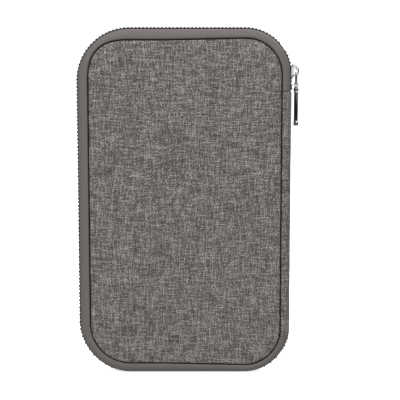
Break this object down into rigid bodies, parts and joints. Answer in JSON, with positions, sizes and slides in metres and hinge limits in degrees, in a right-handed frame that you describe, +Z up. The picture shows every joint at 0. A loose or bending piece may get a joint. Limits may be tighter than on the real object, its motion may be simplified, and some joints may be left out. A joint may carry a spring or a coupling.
{
  "type": "passport holder",
  "caption": "Zip-round travel document holder that opens like a book on a cloth spine, with passport, ticket and card pockets inside and a hanging zip pull.",
  "frame": {"origin": "middle of the whole object's box, on the surface the case stands on", "axes": "+Z up the case, -Y out of the front cover, +X towards the spine and the zip pull"},
  "size_m": [0.1454, 0.021, 0.229],
  "materials": {
    "cover_cloth": "heathered woven polyester, matt",
    "zip_tape": "plain woven tape, matt",
    "teeth": "moulded, satin",
    "foam": "foam sheet",
    "board": "stiff sheet",
    "lining": "plain woven lining",
    "pocket_cloth": "plain woven, matt",
    "binding": "ribbed binding tape",
    "chrome": "polished plating",
    "stop_metal": "dark painted",
    "spring_steel": "bare strip",
    "black_bar": "smooth black coating"
  },
  "bodies": {
    "back_cover": {"back_panel": "cover_cloth", "back_foam": "foam", "back_board": "board", "back_lining": "lining", "back_tape": "zip_tape", "back_teeth": "teeth", "ticket_pocket": "pocket_cloth", "ticket_pocket_binding": "binding", "card_slot_1": "pocket_cloth", "card_slot_2": "pocket_cloth", "card_slot_3": "pocket_cloth", "card_slot_4": "pocket_cloth"},
    "front_cover": {"front_panel": "cover_cloth", "front_foam": "foam", "front_board": "board", "front_lining": "lining", "front_tape": "zip_tape", "front_teeth": "teeth", "document_pocket": "pocket_cloth", "document_pocket_binding": "binding", "passport_pocket": "pocket_cloth", "passport_pocket_binding": "binding"},
    "spine": {"spine_cloth": "cover_cloth", "spine_foam": "foam", "spine_lining": "lining", "front_tape_upper_end": "zip_tape", "back_tape_upper_end": "zip_tape", "front_tape_lower_end": "zip_tape", "back_tape_lower_end": "zip_tape", "front_teeth_upper_end": "teeth", "back_teeth_upper_end": "teeth", "front_teeth_lower_end": "teeth", "back_teeth_lower_end": "teeth", "upper_end_stop": "stop_metal", "lower_end_stop": "stop_metal"},
    "slider": {"slider_body": "chrome", "slider_cap": "chrome", "lock_spring": "spring_steel"},
    "link": {"pull_link": "chrome"},
    "pull": {"pull_head": "chrome", "pull_bar": "black_bar", "pull_end_cap": "chrome"}
  },
  "joints": [
    {"name": "back_fold", "type": "hinge", "parent": "back_cover", "child": "spine", "pos_m": [0.06115, 0.00995, 0.1065], "axis": [0, 0, 1], "range_deg": [0, 90]},
    {"name": "front_fold", "type": "hinge", "parent": "spine", "child": "front_cover", "pos_m": [0.06115, -0.00995, 0.1065], "axis": [0, 0, 1], "range_deg": [0, 90]},
    {"name": "slider_run", "type": "slide", "parent": "spine", "child": "slider", "axis": [0, 0, 1], "range_m": [-0.006, 0]},
    {"name": "link_swing", "type": "hinge", "parent": "slider", "child": "link", "pos_m": [0.0709, 0, 0.1994], "axis": [0, -1, 0], "range_deg": [-1, 150]},
    {"name": "pull_swing", "type": "hinge", "parent": "link", "child": "pull", "pos_m": [0.0709, 0, 0.1916], "axis": [0, -1, 0], "range_deg": [-2, 60]}
  ],
  "couplings": [
    {"joint": "front_fold", "follows": "back_fold", "ratio": 1}
  ]
}
